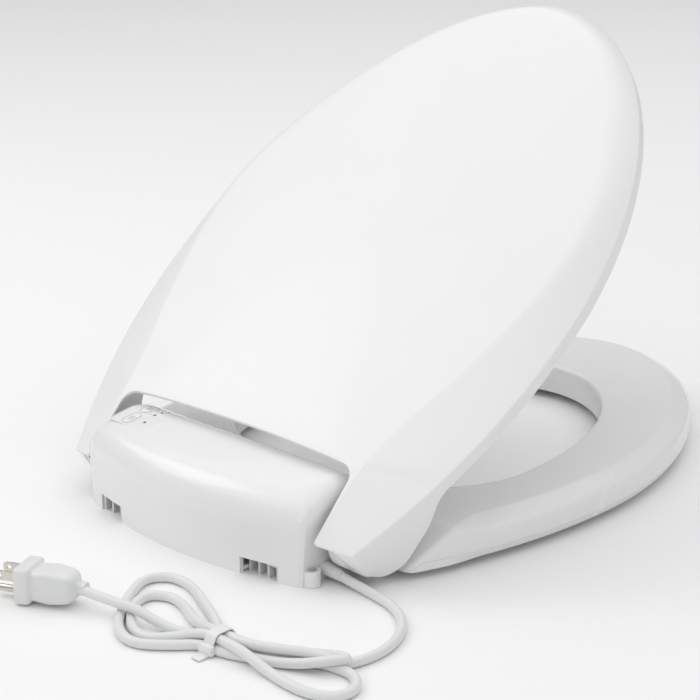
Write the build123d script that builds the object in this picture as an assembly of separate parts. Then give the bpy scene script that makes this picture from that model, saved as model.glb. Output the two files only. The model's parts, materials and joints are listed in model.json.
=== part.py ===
"""Elongated heated toilet seat with a rear electric housing, a night light, a lid and a mains cord.

Millimetres. X is across the seat, -Y is the front (tip of the seat), +Z is up.
The origin is midway between the two bowl-bolt holes, on the plane that the housing rests on.
"""
from build123d import *
from math import cos, sin, tan, radians, pi
import os

os.makedirs("parts", exist_ok=True)

# ---------------------------------------------------------------- driving dimensions
BOLT_SPACING = 140.0          # bowl-bolt holes, centre to centre
HINGE_Y = -6.0                # common hinge axis of seat and lid
HINGE_Z = 28.0
LID_ANGLE = 38.3              # lid opening in the rest pose, degrees from closed

# lid outline, measured forward (v) from the hinge axis and up (w) from it, lid closed
LID_HALF = 184.0
LID_WIDE_V = 187.4
LID_TIP_V = 460.7
LID_REAR_V = -16.0
LID_REAR_HALF = 138.9
LID_RIM_W = 5.1               # bottom of the rim
LID_EDGE_W = 14.4             # top of the vertical rim strip
LID_TOP_W = 31.0              # edge of the top face
LID_CROWN_W = 36.0            # middle of the top face
LID_WALL = 3.0
NOTCH_HALF = 112.5            # room for the housing, half-width
NOTCH_V = 36.0                # front edge of the notch on the mid-plane
NOTCH_BOW = 2.8               # how far that edge curves back at its ends
NOTCH_CORNER = 11.0
EAR_REAR_V = -23.0            # rear inner corner of each lid ear

# seat ring
SEAT_HALF = 182.7
SEAT_WIDE_Y = -201.3
SEAT_TIP_Y = -470.6
SEAT_REAR_Y = -24.0
SEAT_REAR_HALF = 149.0
SEAT_BOTTOM_Z = 6.0
SEAT_SPLIT_Z = 12.0
SEAT_EDGE_Z = 24.0
SEAT_TOP_Z = 31.0
SEAT_WALL = 3.0
OPENING_HALF = 127.6
OPENING_WIDE_Y = -168.0
OPENING_FRONT_Y = -372.0
OPENING_REAR_Y = -68.0

# rear housing
HOUSING_HALF_LOW = 104.5
HOUSING_HALF_HIGH = 110.5
HOUSING_REAR_Y = 45.6
HOUSING_BOW = 16.4            # how far the rear wall curves forward at its ends
HOUSING_FRONT_R = 37.5        # front and top roll, about the hinge axis
HOUSING_TOP = [(22.0, 60.5), (60.0, 51.0)]   # (y, z) on the top's curve behind the roll
HOUSING_WALL = 3.0
HOUSING_EDGE_R = 10.0

# hinge stack on each side, as distances from the mid-plane
SEAT_LUG = (112.8, 124.8)
LID_CHEEK = (126.0, 139.0)
SEAT_LUG_R = 20.0
LID_CHEEK_R = 22.0
PIN_R = 5.0
BUSH_R = 7.0
PIN_CLEARANCE = 0.05

# mounting brackets
BRACKET_INNER = 60.4
BRACKET_OUTER = 88.0
BRACKET_HEIGHT = 11.4
BRACKET_FLOOR = 3.0
BOLT_SLOT_R = 3.6
BOLT_SLOT_LENGTH = 14.0

# mains cord, lying on the floor that the housing rests on
CORD_D = 6.4
CORD_EXIT_Y = 8.0             # centre of the cord hole in the -X end of the housing
CORD_EXIT_Z = 8.0
GLAND_R = 5.5
FLOOR_LINE = CORD_D / 2 + 0.1 # height of the centreline of a cord lying on the floor
PLUG_Z = 13.0


# ---------------------------------------------------------------- helpers
def spline_face(points, z):
    """Flat face at height z: a smooth curve through the points, closed by a straight edge."""
    curve = Spline(*points)
    closing = Line(points[-1], points[0])
    return Pos(0, 0, z) * make_face([curve, closing])


def mirrored(half):
    """Both halves of an outline from its +X half, which ends on the mid-plane."""
    return half + [(-x, y) for x, y in reversed(half[:-1])]


def egg(half, wide_y, tip_y, rear_y, rear_half, front_pow=1.9, side_pow=1.74, rear_pow=2.16):
    """+X half of an elongated seat outline, from its rear corner to the tip."""
    points = []
    for s in (1.0, 0.8, 0.6, 0.4, 0.2):
        x = half - (half - rear_half) * s ** rear_pow
        points.append((x, wide_y + (rear_y - wide_y) * s))
    for angle in (0, 15, 30, 45, 60, 75, 90):
        a = radians(angle)
        x = half * max(cos(a), 0.0) ** (2 / side_pow) if angle < 90 else 0.0
        points.append((x, wide_y + (tip_y - wide_y) * sin(a) ** (2 / front_pow)))
    return points


def lid_y(v):
    return HINGE_Y - v


def lid_z(w):
    return HINGE_Z + w


def x_prism(profile, x0, x1):
    """Solid between x0 and x1 whose (y, z) section is the profile."""
    wire = Polyline(*[(0, y, z) for y, z in profile], close=True)
    return Pos(x0, 0, 0) * extrude(make_face(wire), amount=x1 - x0, dir=(1, 0, 0))


def x_rod(radius, x0, x1, y=HINGE_Y, z=HINGE_Z):
    """Cylinder along X."""
    return Pos((x0 + x1) / 2, y, z) * Rot(0, 90, 0) * Cylinder(radius, abs(x1 - x0))


def block(x0, x1, y0, y1, z0, z1):
    """Box between two corners."""
    return Pos((x0 + x1) / 2, (y0 + y1) / 2, (z0 + z1) / 2) * Box(abs(x1 - x0), y1 - y0, z1 - z0)


def post(radius, x, y, z0, z1):
    """Vertical cylinder."""
    return Pos(x, y, (z0 + z1) / 2) * Cylinder(radius, z1 - z0)


def both_sides(shape):
    """The shape and its mirror image across the mid-plane."""
    return shape + mirror(shape, about=Plane.YZ)


parts = {}


# ---------------------------------------------------------------- rear housing
def plan_face(inset, half, z):
    """Housing outline at one height: bowed rear wall, straight ends, straight front."""
    half = half - inset
    rear = HOUSING_REAR_Y - inset
    end_y = rear - HOUSING_BOW
    front = HINGE_Y - HOUSING_FRONT_R + inset
    edges = [
        ThreePointArc((-half, end_y), (0, rear), (half, end_y)),
        Line((half, end_y), (half, front)),
        Line((half, front), (-half, front)),
        Line((-half, front), (-half, end_y)),
    ]
    return Pos(0, 0, z) * make_face(edges)


def housing_solid(inset, bottom):
    """Solid bounded by the housing's outer surface moved inward by inset."""
    top = 80.0
    plan = loft([plan_face(inset, HOUSING_HALF_LOW, bottom), plan_face(inset, HOUSING_HALF_HIGH, top)])
    radius = HOUSING_FRONT_R - inset
    front = HINGE_Y - radius
    crown = HINGE_Z + radius
    (mid_y, mid_z), (rear_y, rear_z) = HOUSING_TOP
    slant = radius * sin(pi / 4)
    side = make_face([
        Line((0, front, bottom), (0, front, HINGE_Z)),
        ThreePointArc((0, front, HINGE_Z), (0, HINGE_Y - slant, HINGE_Z + slant), (0, HINGE_Y, crown)),
        ThreePointArc((0, HINGE_Y, crown), (0, mid_y, mid_z - inset), (0, rear_y, rear_z - inset)),
        Line((0, rear_y, rear_z - inset), (0, rear_y, bottom)),
        Line((0, rear_y, bottom), (0, front, bottom)),
    ])
    body = plan & (Pos(-130, 0, 0) * extrude(side, amount=260, dir=(1, 0, 0)))
    side_x = HOUSING_HALF_LOW - inset
    top_edges = []
    for edge in body.edges():
        middle = edge.center()
        at_rim = middle.Z > HINGE_Z + 2 and (middle.Y > 20 or abs(middle.X) > side_x)
        if at_rim and edge.bounding_box().size.Z < 30:
            top_edges.append(edge)
    return fillet(top_edges, HOUSING_EDGE_R - inset)


def oval(x, y, width, depth, z0, z1):
    """Upright prism with round ends, long side along Y."""
    slot = SlotOverall(depth, width, rotation=90)
    return Pos(x, y, z0) * extrude(slot, amount=z1 - z0)


outer = housing_solid(0.0, 0.0)
cavity = housing_solid(HOUSING_WALL, -5.0)
skin = outer - housing_solid(0.6, -5.0)
deep_skin = outer - housing_solid(HOUSING_WALL, -5.0)
PANEL_X = 80.0
PANEL_Y = -3.0
panel_prism = Pos(PANEL_X, PANEL_Y, 40) * extrude(RectangleRounded(44, 40, 8), amount=40)
BUTTONS = {"heat_button": (84.0, -9.0), "light_button": (84.0, 8.0)}
LEDS = [(72.0, -3.0), (71.0, -9.0), (70.0, -15.0), (70.0, 8.0)]
NOTCH_INNER = 59.7
NOTCH_OUTER = 88.7
NOTCH_TOP = 12.0
BUTTON_STEM_Z = 57.0
SWITCH_Z = 55.2

panel_overlay = skin & panel_prism
top_cover = deep_skin - panel_overlay
for x, y in BUTTONS.values():
    hole = oval(x, y, 9.4, 15.4, 40, 80)
    top_cover = top_cover - hole
    panel_overlay = panel_overlay - hole
for name, (x, y) in BUTTONS.items():
    cap = deep_skin & oval(x, y, 8.8, 14.8, 40, 80)
    stem = post(2.0, x, y, BUTTON_STEM_Z, 63.0)
    parts[name] = cap + stem
led_lenses = None
for x, y in LEDS:
    bore = post(1.3, x, y, 50, 80)
    top_cover = top_cover - bore
    panel_overlay = panel_overlay - bore
    lens = deep_skin & post(1.2, x, y, 50, 80)
    led_lenses = lens if led_lenses is None else led_lenses + lens
for side in (-1, 1):
    top_cover = top_cover - block(side * NOTCH_INNER, side * NOTCH_OUTER, 15, 60, -1, NOTCH_TOP)
    top_cover = top_cover - x_rod(PIN_R + 0.3, side * 95, side * 115)
top_cover = top_cover - x_rod(GLAND_R, -115, -95, CORD_EXIT_Y, CORD_EXIT_Z)
parts["top_cover"] = top_cover
parts["panel_overlay"] = panel_overlay
parts["led_lenses"] = led_lenses


# base pan: a tray inside the cover, with the ears that stand out past its rear corners
PAN_Z = 1.5
PAN_T = 2.5
SCREW_X = (-50, 0, 50)
SCREW_Y = (-29.5, 30)
base_pan = housing_solid(HOUSING_WALL + 0.3, PAN_Z) & block(-130, 130, -60, 60, PAN_Z, PAN_Z + PAN_T)
for side in (-1, 1):
    base_pan = base_pan - block(side * NOTCH_INNER, side * NOTCH_OUTER, -24, 60, 0, 10)
for x in SCREW_X:
    for y in SCREW_Y:
        base_pan = base_pan + post(4.0, x, y, PAN_Z + PAN_T, 16)
        base_pan = base_pan - post(1.4, x, y, PAN_Z - 1, 17)
for x in (-36, 36):
    for y in (-20, 18):
        base_pan = base_pan + post(3.0, x, y, PAN_Z + PAN_T, 10)
parts["base_pan"] = base_pan

EAR_X = 112.0
EAR_Y = 20.5


def corner_ear(side):
    """Small rounded tab at a rear lower corner of the housing, with an upturned end."""
    flat = block(side * 100, side * (EAR_X - 5), EAR_Y - 6, EAR_Y + 6, 0.2, 2.8)
    tip = post(6.0, side * (EAR_X - 6), EAR_Y, 0.2, 2.8)
    upturn = post(6.0, side * (EAR_X - 6), EAR_Y, 0.2, 11.0) - post(3.6, side * (EAR_X - 6), EAR_Y, 2.8, 12.0)
    wall = upturn & block(side * (EAR_X - 7), side * (EAR_X + 2), EAR_Y - 7, EAR_Y + 7, 0, 12)
    return flat + tip + wall


parts["ear_left"] = corner_ear(-1) - outer
parts["ear_right"] = corner_ear(1) - outer

# mounting brackets, one over each bowl-bolt hole
def bracket(side):
    """Plate with a bolt slot and, at its rear end, three cells open below and behind."""
    width = BRACKET_OUTER - BRACKET_INNER
    middle = side * (BRACKET_INNER + BRACKET_OUTER) / 2
    rear = HOUSING_REAR_Y - HOUSING_BOW * (BRACKET_OUTER / HOUSING_HALF_LOW) ** 2 - 1.5
    front = -22.0
    body = block(middle - width / 2, middle + width / 2, front, rear, 0, BRACKET_HEIGHT)
    wall = 2.0
    inner = width / 2 - wall
    body = body - block(middle - inner, middle + inner, front + wall, 16, BRACKET_FLOOR, 20)
    pitch = (width - wall) / 3
    for i in range(3):
        x0 = middle - width / 2 + wall + i * pitch
        body = body - block(x0, x0 + pitch - wall, 18, rear + 1, -1, BRACKET_HEIGHT - wall)
    slot = SlotOverall(BOLT_SLOT_LENGTH, 2 * BOLT_SLOT_R)
    return body - Pos(side * BOLT_SPACING / 2, 0, -1) * extrude(slot, amount=BRACKET_FLOOR + 2)


parts["mount_bracket_left"] = bracket(-1)
parts["mount_bracket_right"] = bracket(1)

# rubber pads under the base pan
pads = None
for x in (-96, -25, 25, 96):
    for y in (-33, 20):
        pad = post(5.0, x, y, 0, PAN_Z)
        pads = pad if pads is None else pads + pad
parts["base_pads"] = pads

# screws that hold the cover to the pan
screws = None
for x in SCREW_X:
    for y in SCREW_Y:
        screw = post(1.4, x, y, PAN_Z - 0.2, 14) + post(2.6, x, y, 0.2, PAN_Z)
        screws = screw if screws is None else screws + screw
parts["pan_screws"] = screws

# electronics inside the housing
BOARD_Z = 10.0
parts["power_board"] = block(-40, 40, -24, 22, BOARD_Z, BOARD_Z + 1.6)
parts["transformer"] = block(-34, -6, -22, 2, BOARD_Z + 1.6, BOARD_Z + 24)
parts["relay"] = block(4, 20, -20, -8, BOARD_Z + 1.6, BOARD_Z + 17)
parts["capacitor"] = post(5.0, 30, -16, BOARD_Z + 1.6, BOARD_Z + 22)
parts["fuse_holder"] = block(4, 27, 6, 13, BOARD_Z + 1.6, BOARD_Z + 9)
CONTROL_BOARD_Z = 50.0
parts["control_board"] = block(60, 98, -22, 18, CONTROL_BOARD_Z, CONTROL_BOARD_Z + 1.6)
switches = None
for x, y in BUTTONS.values():
    switch = block(x - 3, x + 3, y - 3, y + 3, CONTROL_BOARD_Z + 1.6, SWITCH_Z)
    switches = switch if switches is None else switches + switch
parts["tact_switches"] = switches
emitters = None
for x, y in LEDS:
    emitter = block(x - 1, x + 1, y - 1, y + 1, CONTROL_BOARD_Z + 1.6, CONTROL_BOARD_Z + 4)
    emitters = emitter if emitters is None else emitters + emitter
parts["led_emitters"] = emitters

# night light: a board behind a clear strip in the housing's front wall
NIGHT_Z = 20.0
NIGHT_HALF = 40.0
FRONT_Y = HINGE_Y - HOUSING_FRONT_R
window = block(-NIGHT_HALF, NIGHT_HALF, FRONT_Y - 1, FRONT_Y + 5, NIGHT_Z - 4, NIGHT_Z + 4)
parts["top_cover"] = parts["top_cover"] - window
parts["night_light_lens"] = block(-NIGHT_HALF, NIGHT_HALF, FRONT_Y + 0.2, FRONT_Y + 3.0,
                                  NIGHT_Z - 4, NIGHT_Z + 4)
parts["night_light_board"] = block(-NIGHT_HALF, NIGHT_HALF, FRONT_Y + 6, FRONT_Y + 7.6,
                                   NIGHT_Z - 5, NIGHT_Z + 5)
bulbs = None
for i in range(4):
    x = -30 + 20 * i
    bulb = block(x - 1.5, x + 1.5, FRONT_Y + 4, FRONT_Y + 6, NIGHT_Z - 1.5, NIGHT_Z + 1.5)
    bulbs = bulb if bulbs is None else bulbs + bulb
parts["night_light_leds"] = bulbs

# hinge: a damper and a pin on each side
for side, name in ((-1, "left"), (1, "right")):
    parts["damper_" + name] = x_rod(9.0, side * 52, side * 100)
    parts["hinge_pin_" + name] = x_rod(PIN_R, side * 100, side * (LID_CHEEK[1] - 2))
    lug = x_rod(BUSH_R, side * SEAT_LUG[0], side * SEAT_LUG[1])
    parts["seat_bush_" + name] = lug - x_rod(PIN_R + PIN_CLEARANCE, side * 110, side * 130)
    cheek = x_rod(BUSH_R, side * LID_CHEEK[0], side * (LID_CHEEK[1] - 2))
    parts["lid_bush_" + name] = cheek - x_rod(PIN_R + PIN_CLEARANCE, side * 110, side * 140)


# ---------------------------------------------------------------- seat ring
def seat_outline(inset):
    half = egg(SEAT_HALF - inset, SEAT_WIDE_Y, SEAT_TIP_Y + inset, SEAT_REAR_Y - inset,
               SEAT_REAR_HALF - inset)
    return mirrored(half)


def opening_outline(grow):
    """Closed oval opening of the ring, as points from its rear end round to the rear end again."""
    half = OPENING_HALF + grow
    points = []
    for angle in range(-90, 90, 18):
        a = radians(angle)
        x = half * cos(a)
        if angle < 0:
            y = OPENING_WIDE_Y + (OPENING_REAR_Y + grow - OPENING_WIDE_Y) * sin(-a)
        else:
            y = OPENING_WIDE_Y + (OPENING_FRONT_Y - grow - OPENING_WIDE_Y) * sin(a)
        points.append((x, y))
    points.append((0, OPENING_FRONT_Y - grow))
    return points + [(-x, y) for x, y in reversed(points[1:-1])]


def opening_prism(grow, z0, z1):
    wire = Spline(*opening_outline(grow), periodic=True)
    return Pos(0, 0, z0) * extrude(make_face(wire), amount=z1 - z0)


def seat_body(inset, z0, z1):
    """Ring's outer form between two heights, without its opening."""
    stations = [(SEAT_BOTTOM_Z, 3.0), (SEAT_SPLIT_Z, 0.0), (SEAT_EDGE_Z, 0.0), (SEAT_TOP_Z, 14.0)]
    faces = []
    for z, step in stations:
        drop = inset if z == SEAT_TOP_Z else 0.0
        faces.append(spline_face(seat_outline(step + inset), z - drop))
    return loft(faces, ruled=True) & block(-220, 220, -500, 60, z0, z1)


SWING_R = 40.0                # seat's clearance round the housing's front roll
NECK = [(-70, 9.0), (HINGE_Y, 8.5), (HINGE_Y, 47.0), (-32, 40), (-70, 30)]


def cheek_profile(gap):
    """Lower outline of the lid's hinge cheek in (y, z), lid closed, moved outward by gap."""
    points = [(-60, -60), (6, -60), (17 - gap, -19 - gap), (50 + gap, LID_RIM_W - 1 - gap), (50 + gap, 60),
              (-60, 60)]
    return [(lid_y(v), lid_z(w)) for v, w in points]


ring = seat_body(0.0, SEAT_BOTTOM_Z, SEAT_TOP_Z) - opening_prism(0.0, 0, 50)
lug_in, lug_out = SEAT_LUG
ring = ring - x_rod(SWING_R, -lug_in, lug_in) - block(-lug_in, lug_in, FRONT_Y - 2.5, 20, 0, HINGE_Z)
for side in (-1, 1):
    ring = ring - x_prism(cheek_profile(0.0), min(side * 125.0, side * 200), max(side * 125.0, side * 200))
seat_cavity = seat_body(SEAT_WALL, SEAT_BOTTOM_Z + SEAT_WALL, SEAT_TOP_Z) - opening_prism(SEAT_WALL, 0, 50)
seat_cavity = seat_cavity & block(-220, 220, -500, -82, 0, 50)
seat_top = (ring & block(-220, 220, -500, 60, SEAT_SPLIT_Z, 60)) - seat_cavity
seat_bottom = (ring & block(-220, 220, -500, 60, 0, SEAT_SPLIT_Z)) - seat_cavity
for side in (-1, 1):
    x0, x1 = sorted((side * lug_in, side * lug_out))
    neck = x_prism(NECK, x0, x1) + x_rod(SEAT_LUG_R, x0, x1)
    seat_bottom = seat_bottom - block(x0, x1, -71, 20, 0, 60)
    seat_top = seat_top + neck
    seat_top = seat_top - x_rod(BUSH_R, x0 - 1, x1 + 1)
parts["seat_top_shell"] = seat_top
parts["seat_bottom_shell"] = seat_bottom

heater = spline_face(seat_outline(22), 27.0)
heater = extrude(heater, amount=0.8) - opening_prism(7, 0, 50)
parts["seat_heater"] = heater & block(-220, 220, -500, -84, 0, 50)
parts["seat_thermostat"] = block(140, 156, -215, -190, 19, 27)
parts["seat_thermal_fuse"] = block(-152, -144, -215, -190, 22, 27)

bumpers = None
for x, y in ((140, -100), (-140, -100), (62, -404), (-62, -404)):
    bumper = post(9.0, x, y, 0, SEAT_BOTTOM_Z)
    bumpers = bumper if bumpers is None else bumpers + bumper
parts["seat_bumpers"] = bumpers


# ---------------------------------------------------------------- lid, modelled closed
TOP_EDGE = [                  # (x, v) round the +X half of the top face, from the rear
    (113, -20), (115, 14), (121, 55), (135, 97), (153, 157), (162, 231), (147, 297), (116, 358), (61, 419),
]
TOP_TIP_V = 441.0
TOP_MIDDLE_V = 215.0


def rim_face(inset, w):
    half = egg(LID_HALF - inset, lid_y(LID_WIDE_V), lid_y(LID_TIP_V - inset), lid_y(LID_REAR_V + inset),
               LID_REAR_HALF - inset)
    return spline_face(mirrored(half), lid_z(w))


def top_face(scale, inset, w):
    """Outline of the top face, drawn in toward its middle by scale and inset."""
    half = []
    for x, v in TOP_EDGE:
        half.append(((x - inset) * scale, lid_y(TOP_MIDDLE_V + (v - TOP_MIDDLE_V) * scale)))
    tip_v = TOP_MIDDLE_V + (TOP_TIP_V - inset - TOP_MIDDLE_V) * scale
    return spline_face(mirrored(half + [(0, lid_y(tip_v))]), lid_z(w))


def lid_form(inset, drop):
    """Lid's outer form moved inward by inset, starting drop below the rim."""
    faces = [
        rim_face(inset, LID_RIM_W - drop),
        rim_face(inset, LID_EDGE_W - inset / 2),
        top_face(1.0, inset, LID_TOP_W - inset),
        top_face(0.6, inset, LID_CROWN_W - inset),
    ]
    return loft(faces, ruled=True)


def notch_prism():
    """Room in the lid for the housing: a bowed front edge with rounded corners."""
    edge_v = NOTCH_V - NOTCH_BOW
    corner_x = NOTCH_HALF - NOTCH_CORNER
    bend = NOTCH_CORNER * (1 - cos(pi / 4))
    edges = [
        Line((-NOTCH_HALF, lid_y(-60)), (-NOTCH_HALF, lid_y(edge_v - NOTCH_CORNER))),
        ThreePointArc((-NOTCH_HALF, lid_y(edge_v - NOTCH_CORNER)), (bend - NOTCH_HALF, lid_y(edge_v - bend)),
                      (-corner_x, lid_y(edge_v))),
        ThreePointArc((-corner_x, lid_y(edge_v)), (0, lid_y(NOTCH_V)), (corner_x, lid_y(edge_v))),
        ThreePointArc((corner_x, lid_y(edge_v)), (NOTCH_HALF - bend, lid_y(edge_v - bend)),
                      (NOTCH_HALF, lid_y(edge_v - NOTCH_CORNER))),
        Line((NOTCH_HALF, lid_y(edge_v - NOTCH_CORNER)), (NOTCH_HALF, lid_y(-60))),
        Line((NOTCH_HALF, lid_y(-60)), (-NOTCH_HALF, lid_y(-60))),
    ]
    return Pos(0, 0, -20) * extrude(make_face(edges), amount=120)


ear_slope = [(lid_y(v), lid_z(w)) for v, w in ((34, 31), (EAR_REAR_V, 23), (-60, 18), (-60, 90), (34, 90))]
lid_outer = lid_form(0.0, 0.0) - x_prism(ear_slope, -220, 220)
ear_slope_inner = [(y, z - LID_WALL) for y, z in ear_slope]
lid_inner = lid_form(LID_WALL, 2.0) - x_prism(ear_slope_inner, -220, 220)
lid_shell = lid_outer - lid_inner - notch_prism()
cheek_in, cheek_out = LID_CHEEK
for side in (-1, 1):
    x0, x1 = sorted((side * 100.0, side * 125.6))
    lid_shell = lid_shell - x_rod(LID_CHEEK_R - 0.4, x0, x1)
    x0, x1 = sorted((side * cheek_in, side * cheek_out))
    web_corners = ((-19, 12), (46, 12), (46, LID_RIM_W), (16, -15), (0, 0))
    web = [(lid_y(v), lid_z(w)) for v, w in web_corners]
    cheek = x_rod(LID_CHEEK_R, x0, x1) + x_prism(web, x0, x1)
    bush_room = x_rod(BUSH_R, side * (cheek_in - 1), side * (cheek_out - 2))
    lid_shell = lid_shell + cheek - bush_room


def opened(shape):
    """Turn a closed lid part about the hinge axis to the rest pose."""
    return shape.rotate(Axis((0, HINGE_Y, HINGE_Z), (1, 0, 0)), -LID_ANGLE)


lid_bumpers = None
for x, v in ((172, 175), (-172, 175), (58, 430), (-58, 430)):
    bumper = post(5.0, x, lid_y(v), lid_z(LID_RIM_W - 1.9), lid_z(LID_RIM_W + 4.0))
    foot = block(x - 3, x + 3, lid_y(v) - 3, lid_y(v) + 3, lid_z(LID_RIM_W + 4.0), lid_z(LID_RIM_W + 7.0))
    bumper = bumper + foot
    lid_bumpers = bumper if lid_bumpers is None else lid_bumpers + bumper
lid_bumpers = lid_bumpers - lid_shell
parts["lid_shell"] = opened(lid_shell)
parts["lid_bumpers"] = opened(lid_bumpers)


# ---------------------------------------------------------------- mains cord
LEAD = [
    (-110, 8, CORD_EXIT_Z), (-127, 7.6, 5.2), (-147, 8, FLOOR_LINE), (-172, 13, FLOOR_LINE),
    (-192, 28, FLOOR_LINE), (-204, 51, FLOOR_LINE), (-205, 76, FLOOR_LINE), (-196, 97, FLOOR_LINE),
]
TAIL = [(-62, 134, FLOOR_LINE + 1), (-42, 138.5, 7.0), (-22, 143.5, PLUG_Z)]


def turn(a, b, c):
    """Angle in degrees through which the route turns at b."""
    return (Vector(b) - Vector(a)).get_angle(Vector(c) - Vector(b))


def cord_tube(name, points):
    """Tube of straight runs joined by tangent arcs as large as the runs allow."""
    radii = []
    for a, b, c in zip(points, points[1:], points[2:]):
        shorter = min((Vector(b) - Vector(a)).length, (Vector(c) - Vector(b)).length)
        radii.append(0.45 * shorter / tan(radians(turn(a, b, c)) / 2))
    path = FilletPolyline(*points, radius=radii)
    section = Plane(origin=path @ 0, z_dir=path % 0) * Circle(CORD_D / 2)
    tube = sweep(section, path=path)
    print(name, "radii", [round(r, 1) for r in radii], "length", round(path.length, 1))
    expected = pi * CORD_D ** 2 / 4 * path.length
    print(name, "volume", round(tube.volume, 1), "section x length", round(expected, 1))
    return tube


parts["cord_lead"] = cord_tube("cord_lead", LEAD)
parts["cord_tail"] = cord_tube("cord_tail", TAIL)

gland = x_rod(GLAND_R - 0.1, -110, -101.4, CORD_EXIT_Y, CORD_EXIT_Z)
parts["cord_gland"] = gland
parts["cord_clamp"] = block(-98, -91, CORD_EXIT_Y - 7, CORD_EXIT_Y + 7, PAN_Z + PAN_T, 13)

TIE_X = -129.0
TIE_Y = 121.0
HANK_LOW = 1.2
HANK_HIGH = 14.2
WAIST = 9.0
left_lobe = [
    (-121, TIE_Y - WAIST), (-102, 103), (-78, 89), (-50, 80), (-33, 84), (-29, 102), (-41, 122),
    (-59, 143), (-80, 154), (-100, 150), (-121, TIE_Y + WAIST),
]
right_lobe = [
    (-137, TIE_Y + WAIST), (-165, 130), (-192, 131), (-215, 127), (-229, 116), (-226, 103), (-208, 91),
    (-188, 86), (-165, 93), (-137, TIE_Y - WAIST),
]
hank = block(-137, -121, TIE_Y - WAIST, TIE_Y + WAIST, HANK_LOW, HANK_HIGH)
for lobe in (left_lobe, right_lobe):
    hank = hank + extrude(spline_face(lobe, HANK_LOW), amount=HANK_HIGH - HANK_LOW)
hank = hank - block(TIE_X - 5, TIE_X + 5, TIE_Y + WAIST, TIE_Y + 30, 0, 30)
hank = hank - block(TIE_X - 5, TIE_X + 5, TIE_Y - 30, TIE_Y - WAIST, 0, 30)
parts["cord_hank"] = hank
band = block(TIE_X - 5, TIE_X + 5, TIE_Y - WAIST - 1.6, TIE_Y + WAIST + 1.6, 0, HANK_HIGH + 1.6)
parts["cord_tie"] = band - block(TIE_X - 6, TIE_X + 6, TIE_Y - WAIST, TIE_Y + WAIST, HANK_LOW, HANK_HIGH)

# plug: body, two flat blades and a round earth pin, lying on the floor
PLUG_TURN = 25.0              # heading of the pins from +X, degrees
plug_place = Pos(TAIL[-1][0], TAIL[-1][1], PLUG_Z) * Rot(0, 0, PLUG_TURN)
plug = Pos(19, 0, 0) * Box(38, 25, 24)
plug = fillet(plug.edges(), 5.0)
blades = None
for y in (-6.35, 6.35):
    blade = Pos(38 + 8, y, 4) * Box(16, 1.5, 6.35)
    blade = blade - Pos(50, y, 4) * Rot(90, 0, 0) * Cylinder(1.6, 4)
    blades = blade if blades is None else blades + blade
parts["plug_body"] = plug_place * plug
parts["plug_blades"] = plug_place * blades
parts["plug_earth_pin"] = plug_place * (Pos(38 + 9, 0, -7.5) * Rot(0, 90, 0) * Cylinder(2.4, 18))

# ---------------------------------------------------------------- output
for name, shape in parts.items():
    export_step(shape, "parts/" + name + ".step")
    box = shape.bounding_box()
    print(name, len(shape.solids()), round(shape.volume), [round(v, 1) for v in (*box.min, *box.max)])
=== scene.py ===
"""Looks of the heated toilet seat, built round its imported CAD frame.

Metres, in the frame of the CAD: X across the seat, -Y to the tip, +Z up. Lengths below are in
millimetres where they are passed through mm().
"""

import json
import math

import bmesh
import bpy
import numpy as np
from mathutils import Matrix, Vector


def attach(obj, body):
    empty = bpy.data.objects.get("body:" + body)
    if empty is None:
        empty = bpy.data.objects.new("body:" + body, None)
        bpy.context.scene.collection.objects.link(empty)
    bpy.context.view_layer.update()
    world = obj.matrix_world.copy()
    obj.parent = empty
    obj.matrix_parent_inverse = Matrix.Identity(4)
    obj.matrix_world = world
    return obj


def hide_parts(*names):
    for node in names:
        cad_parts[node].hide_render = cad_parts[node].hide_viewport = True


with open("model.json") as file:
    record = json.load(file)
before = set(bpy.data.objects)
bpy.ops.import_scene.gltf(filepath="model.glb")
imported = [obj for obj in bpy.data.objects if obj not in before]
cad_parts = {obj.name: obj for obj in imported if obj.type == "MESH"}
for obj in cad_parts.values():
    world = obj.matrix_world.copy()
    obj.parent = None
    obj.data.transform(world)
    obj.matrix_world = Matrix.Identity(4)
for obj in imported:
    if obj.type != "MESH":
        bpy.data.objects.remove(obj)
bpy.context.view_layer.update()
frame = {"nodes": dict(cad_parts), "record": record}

# ---------------------------------------------------------------- shared sizes, in millimetres
HINGE_Y = -6.0
HINGE_Z = 28.0
LID_ANGLE = 38.3
CORD_D = 6.4
FLOOR_LINE = CORD_D / 2 + 0.1
TIP_ACROSS, TIP_ALONG = 2 / 1.74, 2 / 1.9     # exponents of the lid's and the ring's rounded front
REAR_TAPER = 2.16                             # exponent of the taper from the widest place to the rear


def mm(*values):
    """Millimetres to metres, as a Vector."""
    return Vector(v / 1000 for v in values)


# ---------------------------------------------------------------- materials
def principled(name, colour, roughness, **sockets):
    """Material with a Principled shader; returns the material, its shader and its node tree."""
    material = bpy.data.materials.new(name)
    material.use_nodes = True
    tree = material.node_tree
    shader = tree.nodes["Principled BSDF"]
    shader.inputs["Base Color"].default_value = (*colour, 1)
    shader.inputs["Roughness"].default_value = roughness
    for socket, value in sockets.items():
        shader.inputs[socket].default_value = value
    return material, shader, tree


def noise(tree, scale, detail=2.0):
    """Noise texture in object coordinates."""
    place = tree.nodes.new("ShaderNodeTexCoord")
    texture = tree.nodes.new("ShaderNodeTexNoise")
    texture.inputs["Scale"].default_value = scale
    texture.inputs["Detail"].default_value = detail
    tree.links.new(place.outputs["Object"], texture.inputs["Vector"])
    return texture


def vary_roughness(tree, shader, texture, low, high):
    """Roughness that wanders between two values with the texture."""
    span = tree.nodes.new("ShaderNodeMapRange")
    span.inputs["To Min"].default_value = low
    span.inputs["To Max"].default_value = high
    tree.links.new(texture.outputs["Fac"], span.inputs["Value"])
    tree.links.new(span.outputs["Result"], shader.inputs["Roughness"])


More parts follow.
